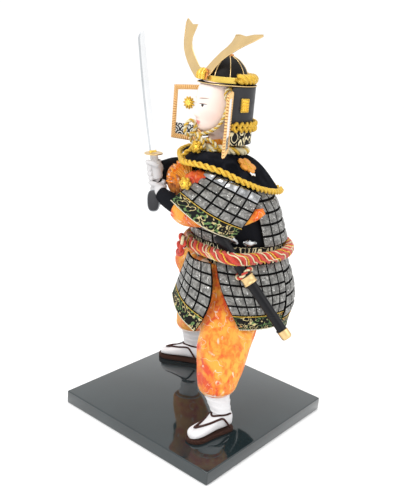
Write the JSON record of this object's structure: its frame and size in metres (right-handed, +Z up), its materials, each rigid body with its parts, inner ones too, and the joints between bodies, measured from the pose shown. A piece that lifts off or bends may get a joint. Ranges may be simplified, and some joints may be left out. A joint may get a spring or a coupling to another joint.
{
  "type": "samurai figurine",
  "caption": "Japanese warrior costume doll in a horned helmet, scale armour and brocade trousers, raising a sword, fixed on a square black lacquer board set corner forward.",
  "frame": {"origin": "middle of the underside of the board", "axes": "+Z up; the doll faces -Y and its left side is +X; the board's corners lie on the X and Y axes"},
  "size_m": [0.2536, 0.2536, 0.3689],
  "materials": {
    "lacquer": "mirror-gloss black lacquer",
    "straw": "matt brown sole edge",
    "strap": "matt dark brown",
    "white": "plain white cotton",
    "orange": "satin brocade, orange with gold, red and white patches",
    "black": "matt black cloth",
    "scales": "quilted grey scales with black gaps",
    "paisley": "black brocade with cream and green paisley",
    "rope": "twisted red, cream and gold rope",
    "skin": "smooth painted ivory",
    "steel": "very pale polished silver",
    "gold": "twisted gold thread",
    "pale_gold": "satin pale gold",
    "wrap": "black and white criss-cross wrap",
    "gloss": "glossy black",
    "velvet": "deep black velvet",
    "cream": "twisted cream and gold cord",
    "braid": "ribbed orange and gold braid",
    "plate": "matt white board with a gold flower"
  },
  "bodies": {
    "root": {"base_board": "lacquer", "belt_knot": "rope", "body_core": "black", "cape": "velvet", "cape_braid": "gold", "cape_emblem": "gold", "chin_cord": "cream", "collar_cord": "cream", "crest_ornament": "gold", "cuirass_back": "scales", "cuirass_front": "scales", "guard_lower_braid": "gold", "guard_upper_braid": "gold", "head": "skin", "helmet_band": "gold", "helmet_bowl": "gloss", "helmet_brim": "velvet", "left_arm_panel": "scales", "left_cuff": "black", "left_hand": "white", "left_hand_guard": "gloss", "left_horn": "pale_gold", "left_leg_wrap": "white", "left_plate_frame": "braid", "left_sandal_sole": "straw", "left_sandal_straps": "strap", "left_side_plate": "plate", "left_sleeve": "orange", "left_sock": "white", "lower_pompom": "gold", "neck_guard": "gloss", "right_arm_panel": "scales", "right_cuff": "black", "right_hand": "white", "right_horn": "pale_gold", "right_leg_wrap": "white", "right_plate_frame": "braid", "right_sandal_sole": "straw", "right_sandal_straps": "strap", "right_side_plate": "plate", "right_sleeve": "orange", "right_sock": "white", "robe_front": "orange", "rope_belt": "rope", "scabbard": "gloss", "scabbard_cord": "cream", "scabbard_end_cap": "pale_gold", "scabbard_fitting": "pale_gold", "skirt_back": "scales", "skirt_front_left": "scales", "skirt_front_right": "scales", "skirt_left": "scales", "skirt_right": "scales", "sword_blade": "steel", "sword_guard": "pale_gold", "sword_handle": "wrap", "trousers": "orange", "under_collar": "orange", "upper_pompom": "gold", "waistband": "paisley"}
  },
  "joints": []
}
